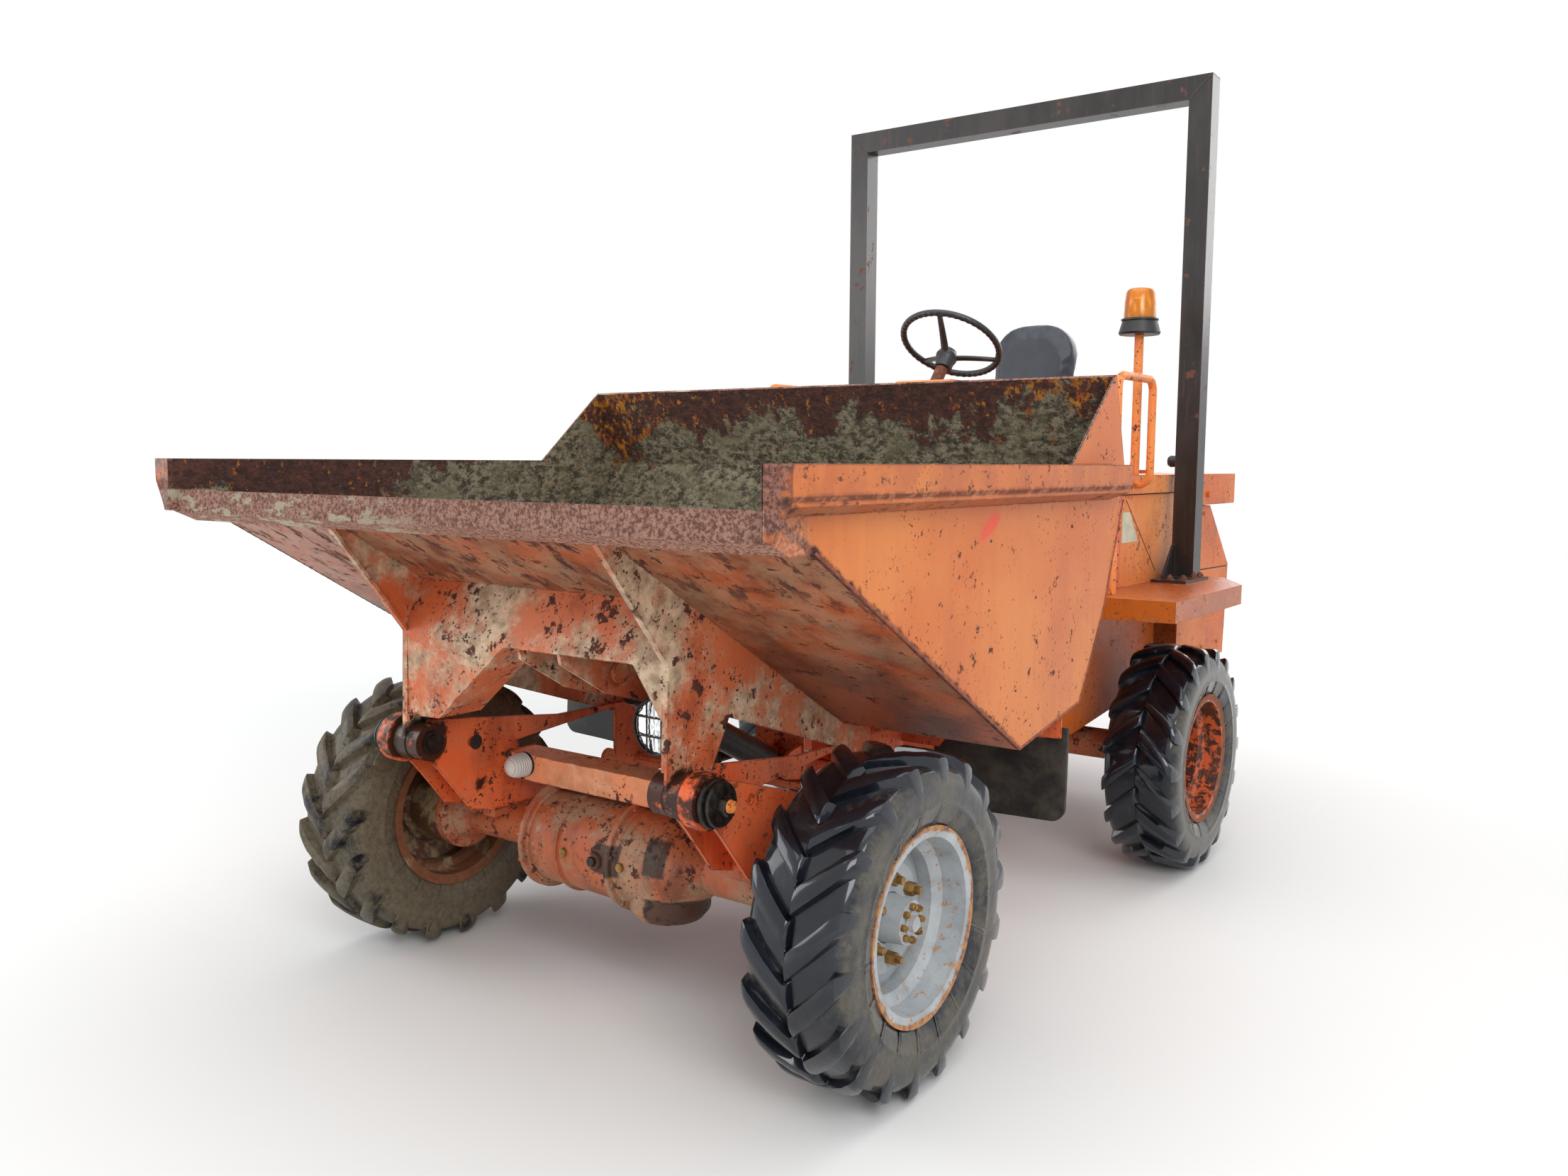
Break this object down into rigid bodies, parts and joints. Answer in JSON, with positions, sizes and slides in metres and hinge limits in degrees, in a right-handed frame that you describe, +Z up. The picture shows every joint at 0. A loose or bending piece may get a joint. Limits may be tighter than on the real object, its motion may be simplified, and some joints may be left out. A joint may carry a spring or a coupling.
{
  "type": "site dumper",
  "caption": "Articulated site dumper with a forward-tipping skip, roll bar, open driving seat, hinged bonnet and lugged tyres.",
  "frame": {"origin": "on the ground, under the centre of the outer box", "axes": "-Y ahead (the skip's end), +X the machine's left, +Z up"},
  "size_m": [2.234, 4.12, 3.07],
  "materials": {
    "orange_paint": "faded, chalky",
    "dark_orange_paint": "worn, stained",
    "rusty_steel": "rusty",
    "greasy_steel": "greasy",
    "ram_chrome": "polished",
    "black_paint": "worn satin",
    "tyre_rubber": "worn",
    "grey_rim": "chipped, rust at the edge",
    "orange_rim": "rusty",
    "brown_rim": "rusty",
    "rubber": "matt",
    "seat_cover": "worn vinyl cloth",
    "clear_lens": "clear, ribbed",
    "amber_lens": "amber, tinted",
    "black_plastic": "matt"
  },
  "bodies": {
    "front_chassis": {"front_frame": "dark_orange_paint", "front_axle": "rusty_steel", "marker_lamps": "clear_lens", "headlamp": "black_plastic", "headlamp_guard": "rusty_steel", "flap_bars": "dark_orange_paint", "wheel_flaps": "rubber"},
    "skip": {"skip_tub": "orange_paint", "skip_cradle": "orange_paint", "skip_pins": "greasy_steel"},
    "tip_barrel": {"tip_ram_barrel": "dark_orange_paint"},
    "tip_rod": {"tip_ram_rod": "ram_chrome"},
    "centre_pivot": {"centre_pivot": "greasy_steel"},
    "steer_barrel": {"steer_ram_barrel": "dark_orange_paint"},
    "steer_rod": {"steer_ram_rod": "ram_chrome"},
    "rear_chassis": {"rear_frame": "dark_orange_paint", "rear_axle": "rusty_steel", "engine_block": "rusty_steel", "running_boards": "orange_paint", "foot_deck": "orange_paint", "front_bulkhead": "dark_orange_paint", "under_sides": "dark_orange_paint", "seat_box": "orange_paint", "top_rails": "orange_paint", "rear_hull": "orange_paint", "tail_weight": "dark_orange_paint", "tow_hitch": "greasy_steel", "bonnet_hinges": "greasy_steel", "roll_bar": "black_paint", "post_lamp": "black_plastic", "seat_pan": "black_plastic", "seat_cushion": "seat_cover", "seat_back": "seat_cover", "seat_stay": "rusty_steel", "console": "dark_orange_paint", "steering_column": "rusty_steel", "beacon_pole": "orange_paint", "beacon_base": "black_plastic", "beacon_dome": "amber_lens", "grab_rails": "orange_paint"},
    "bonnet": {"bonnet": "orange_paint"},
    "steering_wheel": {"steering_wheel": "black_plastic"},
    "front_left_wheel": {"front_left_tyre": "tyre_rubber", "front_left_rim": "grey_rim", "front_left_hub": "grey_rim"},
    "front_right_wheel": {"front_right_tyre": "tyre_rubber", "front_right_rim": "brown_rim", "front_right_hub": "brown_rim"},
    "rear_left_wheel": {"rear_left_tyre": "tyre_rubber", "rear_left_rim": "orange_rim", "rear_left_hub": "orange_rim"},
    "rear_right_wheel": {"rear_right_tyre": "tyre_rubber", "rear_right_rim": "orange_rim", "rear_right_hub": "orange_rim"}
  },
  "joints": [
    {"name": "skip_tip", "type": "hinge", "parent": "front_chassis", "child": "skip", "pos_m": [0, -1.651, 0.75], "axis": [1, 0, 0], "range_deg": [0, 75]},
    {"name": "tip_barrel_swing", "type": "hinge", "parent": "front_chassis", "child": "tip_barrel", "pos_m": [0.04, -0.638, 0.56], "axis": [1, 0, 0], "range_deg": [-1, 8]},
    {"name": "tip_rod_slide", "type": "slide", "parent": "tip_barrel", "child": "tip_rod", "axis": [0, -0.8879, 0.46], "range_m": [0, 0.36]},
    {"name": "steer", "type": "hinge", "parent": "front_chassis", "child": "centre_pivot", "pos_m": [0, -0.218, 0.6], "axis": [0, 0, 1], "range_deg": [-33, 33]},
    {"name": "chassis_swing", "type": "hinge", "parent": "centre_pivot", "child": "rear_chassis", "pos_m": [0, -0.218, 0.6], "axis": [0, 1, 0], "range_deg": [-10, 10]},
    {"name": "steer_barrel_swing", "type": "hinge", "parent": "front_chassis", "child": "steer_barrel", "pos_m": [-0.145, -0.738, 0.58], "axis": [0, 0, 1], "range_deg": [-1, 1]},
    {"name": "steer_rod_slide", "type": "slide", "parent": "steer_barrel", "child": "steer_rod", "axis": [-0.0288, 0.9996, 0], "range_m": [-0.1, 0.1]},
    {"name": "bonnet_hinge", "type": "hinge", "parent": "rear_chassis", "child": "bonnet", "pos_m": [0, 1.587, 1.522], "axis": [1, 0, 0], "range_deg": [0, 70]},
    {"name": "helm_spin", "type": "hinge", "parent": "rear_chassis", "child": "steering_wheel", "pos_m": [0, 0.553, 1.97], "axis": [0, 0.6361, 0.7716], "continuous": true},
    {"name": "front_left_spin", "type": "hinge", "parent": "front_chassis", "child": "front_left_wheel", "pos_m": [0.866, -1.308, 0.43], "axis": [1, 0, 0], "continuous": true},
    {"name": "front_right_spin", "type": "hinge", "parent": "front_chassis", "child": "front_right_wheel", "pos_m": [-0.866, -1.308, 0.43], "axis": [1, 0, 0], "continuous": true},
    {"name": "rear_left_spin", "type": "hinge", "parent": "rear_chassis", "child": "rear_left_wheel", "pos_m": [0.866, 0.872, 0.43], "axis": [1, 0, 0], "continuous": true},
    {"name": "rear_right_spin", "type": "hinge", "parent": "rear_chassis", "child": "rear_right_wheel", "pos_m": [-0.866, 0.872, 0.43], "axis": [1, 0, 0], "continuous": true}
  ],
  "couplings": [
    {"joint": "tip_barrel_swing", "follows": "skip_tip", "ratio": 0.0825},
    {"joint": "tip_rod_slide", "follows": "skip_tip", "m_per_rad": 0.2675},
    {"joint": "steer_barrel_swing", "follows": "steer", "ratio": 0.0001},
    {"joint": "steer_rod_slide", "follows": "steer", "m_per_rad": -0.16}
  ]
}
